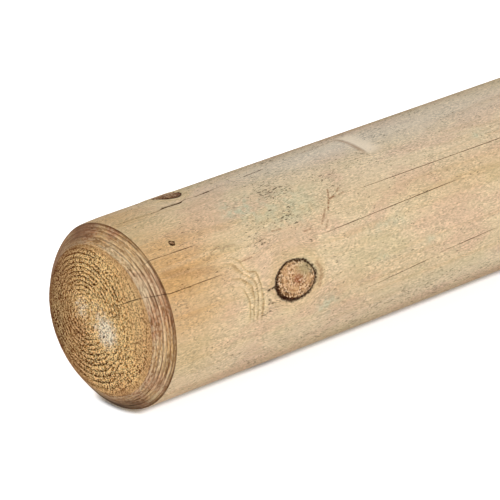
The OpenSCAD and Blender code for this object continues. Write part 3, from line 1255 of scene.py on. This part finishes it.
def makeSawnEnd():
    look = endLook
    material, b, shader = woodMaterial("sawnEnd")
    grain = b.read("grainSpace", "Vector")
    pale, red, smooth = b.parts("endTint")
    clear, darkAndShade, soilAndShade = b.parts("endState")
    brow = b.parts("edges")[1]
    phase = b.read("ringPhase")
    rings = b.place(growthRings, Phase=phase, Grain=grain, Fray=look["ringFray"])
    late = b.times(rings["Late"], b.ease(clear, *look["ringShare"]), b.ease(pale, *look["ringsInPale"]))
    x, y, _ = b.split(b.stretch(grain, (look["drawnOut"],) * 3))
    sawn = b.join(x, y, b.times(phase, look["ringPitch"]))
    everywhere, inPale, inLate = look["lean"]
    lean = b.plus(late, inLate, b.plus(pale, inPale, everywhere))
    speck = b.place(sawnSpeckle, Grain=sawn, Size=look["grainSize"], Lean=lean)
    colour = look["early"]
    # red and smooth patches, the edge, dark patches that are partly painted shade, and late wood
    for name, mask in {"red": red, "smooth": smooth, "edge": brow, "darkAndShade": darkAndShade, "late": late}.items():
        colour = b.tint(colour, look[name], mask, look[name + "Share"])
    ragged = b.calc("SUBTRACT", b.clouds(grain, *look["tornClouds"]), 0.5)
    torn = b.plus(ragged, look["tornBy"], pale)
    colour = b.tint(colour, look["pale"], b.ease(torn, *look["paleShare"]))
    calm = b.times(b.ease(smooth, *look["calmSmooth"]), b.ease(brow, *look["calmEdge"]))
    rosy = b.tint(look["bright"], look["rosy"], red, look["rosyShare"])
    grains = b.tint(rosy, look["pale"], b.ease(torn, *look["paleGrains"]))
    colour = b.tint(colour, grains, speck["Bright"], calm, b.ease(darkAndShade, *look["brightShare"]))
    colour = b.tint(colour, look["dark"], speck["Dark"], calm, b.ease(darkAndShade, *look["darkShare"]))
    # soil and painted shade near the lower rim
    colour = b.tint(colour, look["soilAndShade"], soilAndShade, look["soilAndShadeShare"])
    paint(b, shader, colour, look["check"])
    shader.inputs["Roughness"].default_value = look["roughness"]
    b.roughen(shader, b.calc("SUBTRACT", speck["Bright"], speck["Dark"]), look["bump"], look["bumpDepth"])
    return material


print("making the post")
post = makePost()
print("making its materials")
for maker in (makeTurnedSide, makeMilledChamfer, makeSawnEnd):
    post.data.materials.append(maker())

# pale studio corner: a floor under the foot and a board that the post's side touches
studio = {
    "boardGap": 0.15,               # mm, beside the post
    "boardReach": 1.2,              # m, to both sides and above
    "floorReach": 8.0,
    "colour": (0.72, 0.72, 0.72, 1.0),
    "lift": 0.8,                    # glow for camera, glossy and clear rays alone, for a white ground
    # darker where the post lies this close (m): from full shade at the first openness to none at the second
    "floorContact": {"reach": 0.07, "fade": (0.35, 0.97), "least": 0.45},
    "boardContact": {"reach": 0.005, "fade": (0.20, 0.56), "least": 0.0},
    "contactSamples": 12,
    "worldColour": (1.0, 0.99, 0.97, 1.0),
    "worldStrength": 0.45,
    "white": (1.0, 1.0, 1.0, 1.0),
}


def seenBy(b, path):
    # 1 where the camera looks, straight, in a reflection or through something clear
    rays = [path.outputs[f"Is {kind} Ray"] for kind in ("Camera", "Glossy", "Transmission")]
    return b.calc("MAXIMUM", b.calc("MAXIMUM", rays[0], rays[1]), rays[2])


def makeStageMaterial(name, contact, seeThrough):
    material = bpy.data.materials.new(name)
    material.use_nodes = True
    tree = material.node_tree
    b = Board(tree)
    tree.nodes.remove(tree.nodes["Principled BSDF"])
    path = b.put("ShaderNodeLightPath")
    matt = b.put("ShaderNodeBsdfDiffuse")
    matt.inputs["Color"].default_value = studio["colour"]
    glow = b.put("ShaderNodeEmission")
    near = b.put("ShaderNodeAmbientOcclusion", samples=studio["contactSamples"])
    near.inputs["Distance"].default_value = contact["reach"]
    unshaded = b.ease(near.outputs["AO"], *contact["fade"], contact["least"], 1.0)
    b.feed(glow.inputs["Strength"], b.times(seenBy(b, path), studio["lift"], unshaded))
    both = b.put("ShaderNodeAddShader")
    b.feed(both.inputs[0], matt.outputs[0])
    b.feed(both.inputs[1], glow.outputs[0])
    last = both.outputs[0]
    if seeThrough:
        clear = b.put("ShaderNodeBsdfTransparent")
        choose = b.put("ShaderNodeMixShader")
        back = b.put("ShaderNodeNewGeometry").outputs["Backfacing"]
        b.feed(choose.inputs[0], b.calc("MAXIMUM", back, path.outputs["Is Shadow Ray"]))
        b.feed(choose.inputs[1], last)
        b.feed(choose.inputs[2], clear.outputs[0])
        last = choose.outputs[0]
    b.feed(tree.nodes["Material Output"].inputs["Surface"], last)
    return material


def makeStage():
    reach, side = studio["floorReach"], studio["boardReach"]
    x = -(postRadius + studio["boardGap"]) * mm
    top = postLength * mm
    planes = {
        "studioFloor": ([(-reach, -reach, 0), (reach, -reach, 0), (reach, reach, 0), (-reach, reach, 0)],
                        studio["floorContact"], False),
        "studioBoard": ([(x, -side, 0), (x, side, 0), (x, side, top + side), (x, -side, top + side)],
                        studio["boardContact"], True),
    }
    for name, (corners, contact, seeThrough) in planes.items():
        mesh = bpy.data.meshes.new(name)
        mesh.from_pydata(corners, [], [(0, 1, 2, 3)])
        mesh.materials.append(makeStageMaterial(name, contact, seeThrough))
        plane = bpy.data.objects.new(name, mesh)
        scene.collection.objects.link(plane)


def makeWorld():
    world = bpy.data.worlds.new("softRoom")
    scene.world = world
    world.use_nodes = True
    b = Board(world.node_tree)
    seen = seenBy(b, b.put("ShaderNodeLightPath"))
    strength = studio["worldStrength"]
    sky = world.node_tree.nodes["Background"]
    b.feed(sky.inputs["Color"], b.tint(studio["worldColour"], studio["white"], seen))
    b.feed(sky.inputs["Strength"], b.plus(seen, 1.0 - strength, strength))


# lamps: where each stands (m), what it looks at, its size (m) and power (W)
lamps = {
    "keyBox": {"at": (1.86, -0.10, 2.4), "to": (0, 0, 1.3), "size": 1.5, "power": 17.5},
    "fillBox": {"at": (0.0, -2.08, 1.6), "to": (0, 0, 1.1), "size": 1.6, "power": 24.5},
    "backBox": {"at": (-1.2, 1.8, 2.0), "to": (0, 0, 0.9), "size": 1.8, "power": 32},
}


def makeLamps():
    for name, lamp in lamps.items():
        data = bpy.data.lights.new(name, "AREA")
        data.shape = "DISK"
        data.size = lamp["size"]
        data.energy = lamp["power"]
        holder = bpy.data.objects.new(name, data)
        holder.location = lamp["at"]
        aim = Vector(lamp["to"]) - Vector(lamp["at"])
        holder.rotation_euler = aim.to_track_quat("-Z", "Y").to_euler()
        holder.visible_camera = False
        scene.collection.objects.link(holder)


# the photograph's viewpoint, found from the outline of the end and the sides
view = {
    "at": (0.84875, -1.42666, 2.70812),
    "right": (0.0, -0.67698, -0.73600),
    "up": (0.91755, 0.29265, -0.26918),
    "lens": 290.0,
    "sensor": 36.0,
    "clip": (0.05, 60.0),
}


def makeCamera():
    data = bpy.data.cameras.new("photoCamera")
    data.lens = view["lens"]
    data.sensor_width = view["sensor"]
    data.clip_start, data.clip_end = view["clip"]
    camera = bpy.data.objects.new("photoCamera", data)
    right, up = Vector(view["right"]).normalized(), Vector(view["up"]).normalized()
    turn = Matrix((right, up, right.cross(up))).transposed()
    camera.matrix_world = Matrix.Translation(view["at"]) @ turn.to_4x4()
    scene.collection.objects.link(camera)
    scene.camera = camera


print("setting the stage, lamps and camera")
makeStage()
makeWorld()
makeLamps()
makeCamera()
